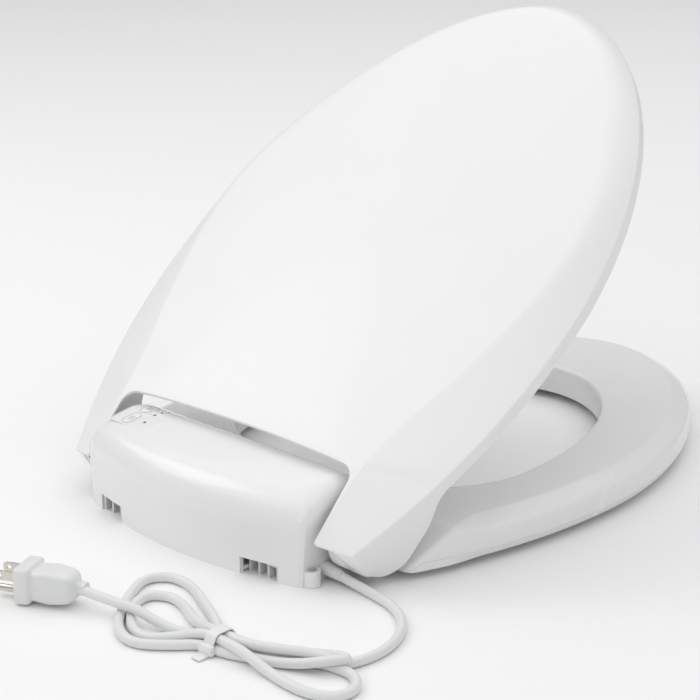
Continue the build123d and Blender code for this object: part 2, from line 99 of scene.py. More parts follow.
def vary_colour(tree, shader, texture, dark, light):
    """Base colour that wanders between two colours with the texture."""
    ramp = tree.nodes.new("ShaderNodeValToRGB")
    ramp.color_ramp.elements[0].color = (*dark, 1)
    ramp.color_ramp.elements[0].position = 0.35
    ramp.color_ramp.elements[1].color = (*light, 1)
    ramp.color_ramp.elements[1].position = 0.65
    tree.links.new(texture.outputs["Fac"], ramp.inputs["Fac"])
    tree.links.new(ramp.outputs["Color"], shader.inputs["Base Color"])


def add_bump(tree, shader, texture, distance, strength):
    """Surface relief from the texture, distance in metres."""
    bump = tree.nodes.new("ShaderNodeBump")
    bump.inputs["Distance"].default_value = distance
    bump.inputs["Strength"].default_value = strength
    tree.links.new(texture.outputs["Fac"], bump.inputs["Height"])
    tree.links.new(bump.outputs["Normal"], shader.inputs["Normal"])


def moulded(name, colour, roughness, coat=0.0, grain=0.0):
    """Moulded plastic: a faint drift in colour and gloss, and grain where the tool was textured."""
    sockets = {"IOR": 1.49}
    if coat:
        sockets["Coat Weight"] = coat
        sockets["Coat Roughness"] = 0.04
    material, shader, tree = principled(name, colour, roughness, **sockets)
    drift = noise(tree, 14.0)
    vary_roughness(tree, shader, drift, roughness * 0.9, roughness * 1.12)
    vary_colour(tree, shader, drift, [c * 0.992 for c in colour], colour)
    if grain:
        add_bump(tree, shader, noise(tree, 2200.0), 0.00004, grain)
    return material


def metal(name, colour, roughness):
    """Bare or plated metal, a little uneven in gloss."""
    material, shader, tree = principled(name, colour, roughness, Metallic=1.0)
    vary_roughness(tree, shader, noise(tree, 300.0), roughness * 0.8, roughness * 1.3)
    return material


GLOSS_WHITE = (0.86, 0.863, 0.87)
MATERIALS = {
    "housing_white": moulded("housing_white", GLOSS_WHITE, 0.24, coat=0.25),
    "lid_white": moulded("lid_white", (0.89, 0.892, 0.896), 0.34, coat=0.08),
    "seat_white": moulded("seat_white", (0.86, 0.863, 0.868), 0.26, coat=0.2),
    # bracket_white is grey, darker than the other whites: painted shade for the brackets that sit down in
    # the cover's notches
    "bracket_white": moulded("bracket_white", (0.70, 0.70, 0.70), 0.38),
    "panel_film": moulded("panel_film", (0.87, 0.873, 0.88), 0.12, coat=0.6),
    "button_white": moulded("button_white", (0.84, 0.845, 0.85), 0.25),
    "led_lens": moulded("led_lens", (0.10, 0.10, 0.11), 0.12, coat=0.8),
    "circuit_board": moulded("circuit_board", (0.02, 0.16, 0.06), 0.35, grain=0.3),
    "transformer_steel": metal("transformer_steel", (0.20, 0.19, 0.17), 0.5),
    "relay_case": moulded("relay_case", (0.02, 0.07, 0.28), 0.3),
    "capacitor_can": metal("capacitor_can", (0.55, 0.56, 0.58), 0.35),
    "fuse_case": moulded("fuse_case", (0.62, 0.59, 0.52), 0.4),
    "switch_black": moulded("switch_black", (0.02, 0.02, 0.022), 0.4),
    "emitter": moulded("emitter", (0.80, 0.84, 0.88), 0.15, coat=0.5),
    "damper_black": moulded("damper_black", (0.03, 0.03, 0.032), 0.45, grain=0.2),
    "pin_steel": metal("pin_steel", (0.55, 0.55, 0.57), 0.3),
    "bush_nylon": moulded("bush_nylon", (0.72, 0.71, 0.67), 0.45),
    "heater_foil": metal("heater_foil", (0.70, 0.70, 0.71), 0.4),
    "bumper_rubber": moulded("bumper_rubber", (0.70, 0.70, 0.69), 0.6, grain=0.3),
    "cord_white": moulded("cord_white", (0.78, 0.785, 0.79), 0.32, grain=0.1),
    "tie_white": moulded("tie_white", (0.82, 0.825, 0.83), 0.28),
    "plug_white": moulded("plug_white", (0.77, 0.775, 0.78), 0.36, grain=0.15),
    "blade_metal": metal("blade_metal", (0.66, 0.63, 0.56), 0.22),
    "ink": moulded("ink", (0.42, 0.43, 0.45), 0.4),
}
lens, lens_shader, lens_tree = principled("clear_lens", (0.90, 0.93, 0.96), 0.22, IOR=1.49)
lens_shader.inputs["Transmission Weight"].default_value = 0.7
add_bump(lens_tree, lens_shader, noise(lens_tree, 500.0), 0.0001, 0.4)
MATERIALS["clear_lens"] = lens

slot_of = {part["node"]: part["material_slot"] for part in frame["record"]["subparts"]}
for node, obj in frame["nodes"].items():
    obj.data.materials.clear()
    obj.data.materials.append(MATERIALS[slot_of[node]])


# ---------------------------------------------------------------- mesh helpers
def add_object(name, data, material, body, *nodes):
    """Link a finished mesh or curve, give it its material, and ride it on its body."""
    obj = bpy.data.objects.new(name, data)
    bpy.context.scene.collection.objects.link(obj)
    data.materials.append(MATERIALS[material])
    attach(obj, body)
    if nodes:
        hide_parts(*nodes)
    return obj


def mesh_from(name, vertices, faces, smooth_angle=35.0):
    """Mesh in metres from millimetre vertices, outward normals, smooth below an angle."""
    mesh = bpy.data.meshes.new(name)
    mesh.from_pydata([tuple(c / 1000 for c in v) for v in vertices], [], faces)
    bm = bmesh.new()
    bm.from_mesh(mesh)
    bmesh.ops.remove_doubles(bm, verts=bm.verts, dist=1e-6)
    bmesh.ops.recalc_face_normals(bm, faces=bm.faces)
    bm.to_mesh(mesh)
    bm.free()
    mesh.shade_smooth()
    mesh.set_sharp_from_angle(angle=math.radians(smooth_angle))
    return mesh


def loop_solid(loops, closed=False):
    """Skin through loops of equal length. Open ends are capped; closed joins the last loop to the first."""
    vertices = [p for loop in loops for p in loop]
    n = len(loops[0])
    faces = []
    pairs = len(loops) if closed else len(loops) - 1
    for i in range(pairs):
        a = i * n
        b = ((i + 1) % len(loops)) * n
        for j in range(n):
            k = (j + 1) % n
            faces.append((a + j, a + k, b + k, b + j))
    if not closed:
        faces.append(tuple(range(n)))
        last = (len(loops) - 1) * n
        faces.append(tuple(last + j for j in range(n)))
    return vertices, faces


def rounded(points, radii, steps=5):
    """Closed loop of 3-D points whose corners are rounded by the radii."""
    out = []
    count = len(points)
    for i in range(count):
        p = Vector(points[i])
        before = Vector(points[i - 1]) - p
        after = Vector(points[(i + 1) % count]) - p
        r = radii[i]
        if r <= 0:
            out.append(tuple(p))
            continue
        a = p + before.normalized() * min(r, 0.45 * before.length)
        b = p + after.normalized() * min(r, 0.45 * after.length)
        for k in range(steps + 1):
            t = k / steps
            out.append(tuple((1 - t) ** 2 * a + 2 * t * (1 - t) * p + t * t * b))
    return out


def smooth_line(points, count):
    """Natural cubic spline through 2-D points, resampled evenly."""
    pts = np.array(points, float)
    d = np.concatenate([[0], np.cumsum(np.linalg.norm(np.diff(pts, axis=0), axis=1))])
    n = len(pts)
    h = np.diff(d)
    a = np.zeros((n, n))
    b = np.zeros((n, pts.shape[1]))
    a[0, 0] = a[-1, -1] = 1
    for i in range(1, n - 1):
        a[i, i - 1], a[i, i], a[i, i + 1] = h[i - 1], 2 * (h[i - 1] + h[i]), h[i]
        b[i] = 6 * ((pts[i + 1] - pts[i]) / h[i] - (pts[i] - pts[i - 1]) / h[i - 1])
    m = np.linalg.solve(a, b)
    out = []
    for s in np.linspace(0, d[-1], count):
        i = min(np.searchsorted(d, s, side="right") - 1, n - 2)
        t, u = s - d[i], d[i + 1] - s
        out.append((m[i] * u ** 3 + m[i + 1] * t ** 3) / (6 * h[i])
                   + (pts[i] / h[i] - m[i] * h[i] / 6) * u + (pts[i + 1] / h[i] - m[i + 1] * h[i] / 6) * t)
    return np.array(out)


def arc_table(line):
    """Length along a polyline at each of its points."""
    return np.concatenate([[0], np.cumsum(np.linalg.norm(np.diff(line, axis=0), axis=1))])


def at_length(line, table, s):
    """Point of a polyline at a length along it."""
    return np.array([np.interp(s, table, line[:, k]) for k in range(line.shape[1])])


def circle(x, y, radius, count):
    """Points round a circle in a plane."""
    angles = np.linspace(0, 2 * math.pi, count, endpoint=False)
    return [(x + radius * math.cos(a), y + radius * math.sin(a)) for a in angles]


def prism(outline, z0, z1):
    """Upright solid on a plan outline."""
    return loop_solid([[(x, y, z) for x, y in outline] for z in (z0, z1)])


def box(x0, x1, y0, y1, z0, z1):
    return prism([(x0, y0), (x1, y0), (x1, y1), (x0, y1)], z0, z1)


def joined(parts):
    """Several (vertices, faces) pairs as one."""
    vertices, faces = [], []
    for v, f in parts:
        base = len(vertices)
        vertices += v
        faces += [tuple(base + i for i in face) for face in f]
    return vertices, faces


def carved(mesh, cutters):
    """Mesh with the cutters' solids taken out of it."""
    body = bpy.data.objects.new("body", mesh)
    tool = bpy.data.objects.new("tool", mesh_from("tool", *joined(cutters)))
    for obj in (body, tool):
        bpy.context.scene.collection.objects.link(obj)
    cut = body.modifiers.new("cut", "BOOLEAN")
    cut.operation = "DIFFERENCE"
    cut.solver = "EXACT"
    cut.object = tool
    bpy.context.view_layer.update()
    result = bpy.data.meshes.new_from_object(body.evaluated_get(bpy.context.evaluated_depsgraph_get()))
    for obj in (body, tool):
        bpy.data.objects.remove(obj)
    result.materials.clear()
    result.shade_smooth()
    result.set_sharp_from_angle(angle=math.radians(35))
    return result


# ---------------------------------------------------------------- camera, floor and light
AZIMUTH = math.radians(223.411)
ELEVATION = math.radians(17.776)
ROLL = math.radians(0.103)
CAMERA_PLACE = (-842.26, 763.62, 493.51)
CAMERA_LENS = 92.02
FLOOR_HALF = 8.0                 # metres
WORLD_STRENGTH = 0.42


def make_camera():
    """Camera at the photograph's viewing angle."""
    back = Vector((math.sin(AZIMUTH) * math.cos(ELEVATION), -math.cos(AZIMUTH) * math.cos(ELEVATION),
                   math.sin(ELEVATION)))
    right = Vector((math.cos(AZIMUTH), math.sin(AZIMUTH), 0))
    up = back.cross(right)
    camera = bpy.data.objects.new("camera", bpy.data.cameras.new("camera"))
    camera.data.lens = CAMERA_LENS
    camera.data.sensor_width = 36
    camera.data.clip_end = 50
    turned_right = right * math.cos(ROLL) + up * math.sin(ROLL)
    turned_up = up * math.cos(ROLL) - right * math.sin(ROLL)
    camera.matrix_world = Matrix.Translation(mm(*CAMERA_PLACE)) @ Matrix(
        (turned_right, turned_up, back)).transposed().to_4x4()
    bpy.context.scene.collection.objects.link(camera)
    bpy.context.scene.camera = camera


def area_light(name, position, target, size, power, height=None):
    light = bpy.data.lights.new(name, "AREA")
    light.shape = "RECTANGLE"
    light.size = size
    light.size_y = height or size
    light.energy = power
    obj = bpy.data.objects.new(name, light)
    obj.location = position
    obj.rotation_euler = (Vector(target) - Vector(position)).to_track_quat("-Z", "Y").to_euler()
    bpy.context.scene.collection.objects.link(obj)


def make_stage():
    """Pale floor, white world and three lights: a broad one above, a weak key and a thin streak behind."""
    material, shader, tree = principled("floor_white", (0.93, 0.93, 0.93), 0.85)
    vary_roughness(tree, shader, noise(tree, 5.0), 0.8, 0.9)
    mesh = bpy.data.meshes.new("floor")
    half = FLOOR_HALF
    corners = [(-half, -half, 0), (half, -half, 0), (half, half, 0), (-half, half, 0)]
    mesh.from_pydata(corners, [], [(0, 1, 2, 3)])
    mesh.materials.append(material)
    floor = bpy.data.objects.new("floor", mesh)
    bpy.context.scene.collection.objects.link(floor)
    world = bpy.data.worlds.new("studio")
    world.use_nodes = True
    world.node_tree.nodes["Background"].inputs["Color"].default_value = (1.0, 1.0, 1.0, 1)
    world.node_tree.nodes["Background"].inputs["Strength"].default_value = WORLD_STRENGTH
    bpy.context.scene.world = world
    bpy.context.scene.view_settings.view_transform = "Standard"
    centre = (0, -0.15, 0.12)
    area_light("sky", (0, -0.2, 3.0), centre, 7.0, 118)
    area_light("key", (1.3, 0.5, 1.3), centre, 0.8, 4)
    area_light("streak", (-0.2, 1.8, 0.9), (0, 0.05, 0.05), 0.9, 2.4, 0.10)


make_camera()
make_stage()

# ---------------------------------------------------------------- mains cord
# The route's points, in millimetres, from the strain relief to the plug. It passes five times through the
# tie at x = -129: the lead, a large left loop, a right loop, a small left loop, a low right loop, the tail.
LOW = FLOOR_LINE
HIGH = FLOOR_LINE + 5.9
LEAD = [
    (-110, 8, 8), (-127, 7.6, 5.2), (-147, 8, LOW), (-172, 13, LOW),
    (-192, 28, LOW), (-204, 51, LOW), (-205, 76, LOW), (-196, 97, LOW),
]
LEAD_IN = [(-206, 88, HIGH), (-198, 100, HIGH), (-186, 107.5, 6), (-171, 113.5, LOW), (-152, 121.5, LOW)]
OUTER_LOOP = [
    (-137, 127.4, LOW), (-121, 127.8, LOW), (-107, 144, LOW), (-89, 157, LOW), (-68, 150, LOW),
    (-50, 131, LOW), (-36, 112, LOW), (-26, 93, LOW), (-36, 78, LOW), (-58, 79, LOW),
    (-82, 91, LOW), (-104, 101.5, LOW), (-121, 113.8, LOW),
]
UPPER_FOLD = [
    (-137, 114.4, LOW), (-151, 107.5, LOW), (-167, 98, LOW), (-181, 88.5, LOW), (-193, 80.5, LOW),
    (-200, 86, LOW), (-194, 94, 6.5), (-183, 101.5, 10), (-167, 110, 9.6), (-151, 117, 9.4),
]
INNER_LOOP = [
    (-137, 117.8, 8.9), (-121, 117.8, 8.9), (-107, 116, 6), (-91, 109.5, LOW), (-75, 101, LOW),
    (-58, 98, LOW), (-46, 107, LOW), (-50, 122, LOW), (-62, 134, LOW), (-76, 144.5, LOW),
    (-91, 146.5, LOW), (-104, 137, 5), (-113, 128.5, 7.5), (-122, 124.4, 8.9),
]
LOWER_LOOP = [
    (-137, 124.4, 8.9), (-150, 125.5, 9.3), (-163, 125.5, 6.5), (-177, 126, LOW), (-193, 128, LOW),
    (-209, 127.5, LOW), (-223, 121, LOW), (-226, 106, LOW), (-214, 94, LOW), (-197, 94.5, LOW),
    (-181, 100.5, LOW), (-166, 107.5, LOW), (-150, 115.5, LOW),
]
TAIL = [
    (-137, 121, LOW), (-121, 121, LOW), (-107, 124, LOW), (-93, 128, LOW), (-80, 131, 6),
    (-68, 133.5, 10), (-55, 136.5, 10.6), (-40, 140, 11.4), (-22, 143.5, 13), (-14, 147, 13),
]
ROUTE = LEAD + LEAD_IN + OUTER_LOOP + UPPER_FOLD + INNER_LOOP + LOWER_LOOP + TAIL


def nurbs(name, points, radius):
    """Smooth open curve with these control points, as a tube of that radius, in millimetres."""
    curve = bpy.data.curves.new(name, "CURVE")
    curve.dimensions = "3D"
    curve.resolution_u = 10
    curve.bevel_depth = radius / 1000
    curve.bevel_resolution = 5
    curve.use_fill_caps = True
    spline = curve.splines.new("NURBS")
    spline.points.add(len(points) - 1)
    for point, p in zip(spline.points, points):
        point.co = (*mm(*p), 1)
    spline.order_u = 3
    spline.use_endpoint_u = True
    return curve


cord = add_object("mains_cord", nurbs("mains_cord", ROUTE, CORD_D / 2), "cord_white", "root",
                  "cord_lead", "cord_hank", "cord_tail")


def ring_loops(stations, sides=32):
    """Round loops along a path: each station is a centre, a direction and a radius, in millimetres."""
    loops = []
    for centre, direction, radius in stations:
        d = Vector(direction).normalized()
        across = d.cross(Vector((0, 0, 1))).normalized()
        upward = across.cross(d)
        loop = []
        for k in range(sides):
            a = 2 * math.pi * k / sides
            loop.append(tuple(Vector(centre) + radius * (math.cos(a) * across + math.sin(a) * upward)))
        loops.append(loop)
    return loops


def make_strain_relief():
    """Tapered, ribbed sleeve round the first stretch of the cord."""
    start, middle, end = Vector((-102, 8, 8)), Vector((-112, 8, 7.9)), Vector((-121, 7.9, 6.3))
    stations = []
    steps = 27
    for i in range(steps + 1):
        t = i / steps
        centre = (1 - t) ** 2 * start + 2 * t * (1 - t) * middle + t * t * end
        direction = (1 - t) * (middle - start) + t * (end - middle)
        rib = 0.3 if 9 < i < steps and i % 3 == 0 else 0.0
        radius = 4.7 - 1.1 * max(0.0, t - 0.2) / 0.8 - rib
        stations.append((centre, direction, radius))
    vertices, faces = loop_solid(ring_loops(stations))
    mesh = mesh_from("strain_relief", vertices, faces, 60)
    return add_object("strain_relief", mesh, "cord_white", "root", "cord_gland")


strain_relief = make_strain_relief()

STRAP_X, STRAP_HALF, STRAP_THICKNESS = -129, 4.2, 0.95


def make_tie():
    """Releasable strap round the five strands, with its head and its loose end on the near side."""
    inner = [(112.0, 0.95), (130.0, 0.95), (131.0, 2.2), (130.9, 5.0), (127.6, 11.6), (125.6, 12.6),
             (116.4, 12.6), (114.4, 11.6), (111.1, 5.0), (111.0, 2.2)]
    middle = Vector((0, 121.0, 6.0))
    loops = []
    line = rounded([(0, y, z) for y, z in inner], [1.6] * len(inner), 4)
    for _, y, z in line:
        out = (Vector((0, y, z)) - middle).normalized() * STRAP_THICKNESS
        corners = [(-STRAP_HALF, 0), (STRAP_HALF, 0), (STRAP_HALF, 1), (-STRAP_HALF, 1)]
        section = [(STRAP_X + x, y + out.y * k, z + out.z * k) for x, k in corners]
        loops.append(rounded(section, [0.35] * 4, 3))

    def bar(corners_yz, half, radius):
        """Block across the strap, with its ends drawn in a little."""
        outline = rounded([(0, y, z) for y, z in corners_yz], [radius] * len(corners_yz), 4)
        centre = sum((Vector(p) for p in outline), Vector()) / len(outline)
        ends = []
        for x, scale in ((-half, 0.88), (-half + 0.5, 1), (half - 0.5, 1), (half, 0.88)):
            end = []
            for _, y, z in outline:
                y, z = centre.y + (y - centre.y) * scale, centre.z + (z - centre.z) * scale
                end.append((STRAP_X + x, y, z))
            ends.append(end)
        return loop_solid(ends)

    head = bar([(130.4, 1.0), (134.0, 1.0), (134.6, 4.2), (133.6, 7.2), (130.6, 7.6)], 5.4, 0.9)
    loose_end = bar([(132.6, 0.5), (141.0, 0.4), (141.6, 1.5), (133.6, 2.2)], 3.6, 0.4)
    mesh = mesh_from("cord_strap", *joined([loop_solid(loops, closed=True), head, loose_end]), 45)
    return add_object("cord_strap", mesh, "tie_white", "root", "cord_tie")


strap = make_tie()

PLUG_PLACE = Matrix.Translation(Vector((-22, 143.5, 13))) @ Matrix.Rotation(math.radians(25), 4, "Z")


def placed(points):
    """The plug's own (x, y, z), with x out of its face, to the frame's."""
    return [tuple(PLUG_PLACE @ Vector(p)) for p in points]


def make_plug():
    """Moulded plug: a ribbed neck, a faceted grip, and a square collar at the face."""
    sections = [  # (x, half-width, half-height, corner radius)
        (-7, 4.0, 4.0, 3.9), (-5, 4.3, 4.3, 4.2), (-4.2, 3.8, 3.8, 3.7), (-3.2, 4.5, 4.5, 4.2),
        (-2.2, 4.0, 4.0, 3.9), (-1.0, 5.2, 5.2, 4.2), (0.2, 7.4, 7.2, 4.2), (2.0, 9.0, 8.6, 4.0),
        (5.0, 9.8, 9.4, 3.6), (15, 10.6, 10.4, 3.2), (24, 9.9, 9.9, 3.0), (26.6, 9.7, 9.7, 3.0),
        (27.4, 10.6, 10.4, 3.0), (28.2, 12.0, 11.5, 3.0), (29.4, 12.5, 12.0, 3.0), (36.6, 12.5, 12.0, 3.0),
        (37.5, 12.1, 11.6, 2.8), (38.0, 11.2, 10.8, 2.4),
    ]
    loops = []
    for x, w, h, r in sections:
        corners = [(x, -w, -h), (x, w, -h), (x, w, h), (x, -w, h)]
        loops.append(placed(rounded(corners, [r] * 4, 6)))
    vertices, faces = loop_solid(loops)
    mesh = mesh_from("plug_body_visual", vertices, faces, 50)
    return add_object("plug_shell", mesh, "plug_white", "root", "plug_body")


def make_blades():
    """Two flat blades, chamfered at the end, each with a hole."""
    bm = bmesh.new()
    for side in (-6.35, 6.35):
        outer = [(38, 0.85), (52.6, 0.85), (54, 2.0), (54, 6.0), (52.6, 7.15), (38, 7.15)]
        hole = circle(50, 4, 1.6, 24)
        for y in (side - 0.75, side + 0.75):
            outer_v = [bm.verts.new(placed([(x, y, z)])[0]) for x, z in outer]
            hole_v = [bm.verts.new(placed([(x, y, z)])[0]) for x, z in hole]
            edges = [bm.edges.new((ring[i], ring[(i + 1) % len(ring)])) for ring in (outer_v, hole_v)
                     for i in range(len(ring))]
            bmesh.ops.triangle_fill(bm, use_beauty=True, use_dissolve=False, edges=edges)
            if y < side:
                first = (outer_v, hole_v)
            else:
                for a, b in zip(first, (outer_v, hole_v)):
                    for i in range(len(a)):
                        j = (i + 1) % len(a)
                        bm.faces.new((a[i], a[j], b[j], b[i]))
    bmesh.ops.scale(bm, vec=(0.001,) * 3, verts=bm.verts)
    bmesh.ops.recalc_face_normals(bm, faces=bm.faces)
    mesh = bpy.data.meshes.new("plug_blades_visual")
    bm.to_mesh(mesh)
    bm.free()
    mesh.shade_smooth()
    mesh.set_sharp_from_angle(angle=math.radians(30))
    obj = add_object("plug_flat_blades", mesh, "blade_metal", "root", "plug_blades")
    bevel = obj.modifiers.new("edge", "BEVEL")
    bevel.width = 0.0002
    bevel.segments = 2
    bevel.limit_method = "ANGLE"
    return obj


def make_earth_pin():
    """Round pin with a domed end."""
    profile = [(37.5, 2.4), (53.4, 2.4), (54.6, 2.2), (55.5, 1.7), (56.0, 0.9)]
    loops = []
    for x, r in profile:
        loops.append(placed([(x, y, z) for y, z in circle(0, -7.5, r, 28)]))
    vertices, faces = loop_solid(loops)
    mesh = mesh_from("plug_earth_visual", vertices, faces, 50)
    return add_object("plug_round_pin", mesh, "blade_metal", "root", "plug_earth_pin")


plug = make_plug()
blades = make_blades()
earth_pin = make_earth_pin()

# ---------------------------------------------------------------- lid
# Drawn closed, in (x, v, w): v forward and w up from the hinge axis. opened() turns it to the rest pose.
LID_HALF, LID_WIDE_V, LID_TIP_V = 184.0, 187.4, 460.7
LID_REAR_V, LID_REAR_HALF = -16.0, 138.9
RIM_W, STRIP_W, TOP_W, CROWN_W = 5.1, 14.4, 31.0, 36.0
NOTCH_HALF, NOTCH_V, NOTCH_BOW, NOTCH_CORNER = 112.5, 36.0, 2.8, 11.0
TOP_EDGE = [
    (113.4, -20), (115, 14), (121, 55), (135, 97), (153, 157), (162, 231), (147, 297), (116, 358),
    (61, 419), (0, 441), (-61, 419), (-116, 358),
]
CHEEK_LINE = [  # lower edge of the hinge cheek, as (v, w)
    (-17, -9), (-12, -17), (-6, -20.6), (0, -21.6), (6, -20.8), (12, -18), (18, -14.8), (27, -10), (36, -3),
    (43, 2.6), (50, 5.1),
]
CHEEK_INNER_X = 126.2
LID_WALL = 3.0
EAR_LENGTH, EAR_END_V, EAR_FADE = 80, 44, 14
TOP_STEPS = 15
CROWN_ROUND = 2.4
SLOPE_V, SLOPE_BLEND, EAR_SLOPE = 34.0, 26.0, 8 / 57   # where the top starts to slope down over the ears
# matching places: v on the rim, v on the top face's edge, length along the notch
LID_KEYS = [(22, 20, 40.0), (62, 46, 62.0), (190, 168, 95.0)]


def opened(points):
    """Closed-lid (x, v, w) points to the frame's (x, y, z) at rest."""
    c, s = math.cos(math.radians(LID_ANGLE)), math.sin(math.radians(LID_ANGLE))
    return [(x, HINGE_Y - (v * c - w * s), HINGE_Z + v * s + w * c) for x, v, w in points]


def smoothstep(t):
    """Soft step from 0 to 1."""
    t = min(1.0, max(0.0, t))
    return t * t * (3 - 2 * t)


def rim_line():
    """Rim's outline from the rear of the +X ear to the tip."""
    line = []
    for s in np.linspace(1, 0, 210, endpoint=False):
        x = LID_HALF - (LID_HALF - LID_REAR_HALF) * s ** REAR_TAPER
        line.append((x, LID_WIDE_V + (LID_REAR_V - LID_WIDE_V) * s))
    for a in np.linspace(0, math.pi / 2, 210):
        x = LID_HALF * max(math.cos(a), 0.0) ** TIP_ACROSS
        line.append((x, LID_WIDE_V + (LID_TIP_V - LID_WIDE_V) * math.sin(a) ** TIP_ALONG))
    line[-1] = (0.0, LID_TIP_V)
    return np.array(line)


def top_line():
    """Top face's edge from the rear of the +X ear to the tip."""
    whole = smooth_line(TOP_EDGE, 900)
    half = whole[: int(np.argmax(whole[:, 1])) + 1]
    half[-1] = (0.0, half[-1, 1])
    return half


def notch_line():
    """Notch's edge from the rear of the +X ear to the mid-plane."""
    edge_v = NOTCH_V - NOTCH_BOW
    corner_x, corner_v = NOTCH_HALF - NOTCH_CORNER, edge_v - NOTCH_CORNER
    line = [(NOTCH_HALF, v) for v in np.linspace(-20, corner_v, 20, endpoint=False)]
    for a in np.linspace(0, math.pi / 2, 24, endpoint=False):
        line.append((corner_x + NOTCH_CORNER * math.cos(a), corner_v + NOTCH_CORNER * math.sin(a)))
    for x in np.linspace(corner_x, 0, 60):
        line.append((x, NOTCH_V - NOTCH_BOW * (x / corner_x) ** 2))
    return np.array(line)


RIM, TOP, NOTCH = rim_line(), top_line(), notch_line()
TOP_CENTRE = np.array([0.0, 215.0])
TOP_ANGLES = np.arctan2(TOP[:, 1] - TOP_CENTRE[1], TOP[:, 0] - TOP_CENTRE[0])
TOP_REACH = np.linalg.norm(TOP - TOP_CENTRE, axis=1)


def crown(x, v):
    """Height of the top face: domed from its edge to its middle, and sloping down over the ears."""
    dx, dv = abs(x), v - TOP_CENTRE[1]
    angle = math.atan2(dv, dx)
    reach = np.interp(angle, TOP_ANGLES, TOP_REACH)
    r = min(1.0, math.hypot(dx, dv) / reach)
    w = TOP_W + (CROWN_W - TOP_W) * (1 - r ** CROWN_ROUND)
    t = (SLOPE_V + SLOPE_BLEND / 2 - v) / SLOPE_BLEND
    past = 0.0 if t <= 0 else (t * t / 2 * SLOPE_BLEND if t < 1 else (t - 0.5) * SLOPE_BLEND)
    return w - past * EAR_SLOPE


def cheek_low(v):
    """Height of the lid's lower edge, which dips round the hinge at the cheeks."""
    line = smooth_line(CHEEK_LINE, 200)
    return float(np.interp(v, line[:, 0], line[:, 1])) if v < CHEEK_LINE[-1][0] else RIM_W


def plan_tangent(line, table, s, step):
    """Unit direction of a plan line at a length along it."""
    chord = at_length(line, table, min(s + step, table[-1])) - at_length(line, table, max(s - step, 0))
    return chord / np.linalg.norm(chord)


def length_at_v(line, table, v):
    """Length along a line where it first reaches v."""
    return table[int(np.argmax(line[:, 1] >= v))]


def across_top(start, end):
    """Points from start towards end, without the end itself."""
    return [start + (end - start) * t for t in np.linspace(0, 1, TOP_STEPS)[:-1]]


def lid_section(p, q, n, normal):
    """Section loop from the notch or mid-line at n, over the top's edge at q, to the rim at p."""
    v = p[1]
    low = cheek_low(v)
    ear = 1 - smoothstep((v - EAR_END_V) / EAR_FADE)
    wall = LID_WALL - 1.4 * (1 - smoothstep((v - 20) / 40))
    edge_w = crown(*q)
    thin = np.array([CHEEK_INNER_X, v]) * ear + (p - normal * LID_WALL) * (1 - ear)
    across = min(1.0, max(0.0, (thin[0] - q[0]) / max(p[0] - q[0], 1.0)))
    shelf = (edge_w + (STRIP_W - edge_w) * across - 2.0) * ear + (STRIP_W - 1.4) * (1 - ear)
    inner_q = q - normal * 1.6
    bulge = 1.1 * (1 - ear)
    middle = (p + q) / 2 + normal * bulge
    outer_top = [(*c, crown(*c)) for c in across_top(n, q)]
    inner_top = [(*c, crown(*c) - wall) for c in across_top(n, inner_q)]
    points = outer_top + [(*q, edge_w), (*middle, (edge_w + STRIP_W) / 2 + bulge), (*p, STRIP_W)]
    points += [(*p, low), (*thin, low), (*thin, shelf), (*inner_q, edge_w - wall)] + inner_top[::-1]
    edge_radii = [9.0 - 6.5 * ear, 14.0 * (1 - ear) + 0.5, 1.4, 1.3, 1.0, 1.0]
    radii = [0.9] + [0.0] * (len(outer_top) - 1) + edge_radii + [0.0] * len(inner_top) + [0.9]
    return rounded(points, radii, 5)


def half_lid_loops():
    """Section loops from the rear of the +X ear to the tip."""
    rim_s, top_s, notch_s = arc_table(RIM), arc_table(TOP), arc_table(NOTCH)
    keys = [(0, 0, 0)]
    for rim_v, top_v, notch_length in LID_KEYS:
        keys.append((length_at_v(RIM, rim_s, rim_v), length_at_v(TOP, top_s, top_v), notch_length))
    keys.append((rim_s[-1], top_s[-1], notch_s[-1]))
    keys = np.array(keys)
    ear_stations = np.linspace(0, EAR_LENGTH, 44, endpoint=False)
    loops = []
    for s in np.concatenate([ear_stations, np.linspace(EAR_LENGTH, rim_s[-1], 130)]):
        p = at_length(RIM, rim_s, s)
        q = at_length(TOP, top_s, np.interp(s, keys[:, 0], keys[:, 1]))
        n = at_length(NOTCH, notch_s, np.interp(s, keys[:, 0], keys[:, 2]))
        tangent = plan_tangent(RIM, rim_s, s, 1)
        normal = np.array([0.0, 1.0]) if s == rim_s[-1] else np.array([tangent[1], -tangent[0]])
        loops.append(lid_section(p, q, n, normal))
    return loops


def make_lid():
    """Skin through the section loops and their mirror image, with the ears' rear ends rounded off."""
    half = half_lid_loops()
    first = half[0]
    centre = np.mean(np.array(first), axis=0)
    rear = []
    for shrink, back in ((0.80, 2.6), (0.90, 2.3), (0.96, 1.5), (0.99, 0.7)):
        shift = np.array([0, back, 0])
        rear.append([tuple(centre + (np.array(p) - centre) * shrink - shift) for p in first])
    half = rear + half
    other = [[(-x, v, w) for x, v, w in loop] for loop in reversed(half[:-1])]
    loops = [opened(loop) for loop in half + other]
    mesh = mesh_from("lid_shell_visual", *loop_solid(loops), 60)
    return add_object("lid_panel", mesh, "lid_white", "lid", "lid_shell")


make_lid()

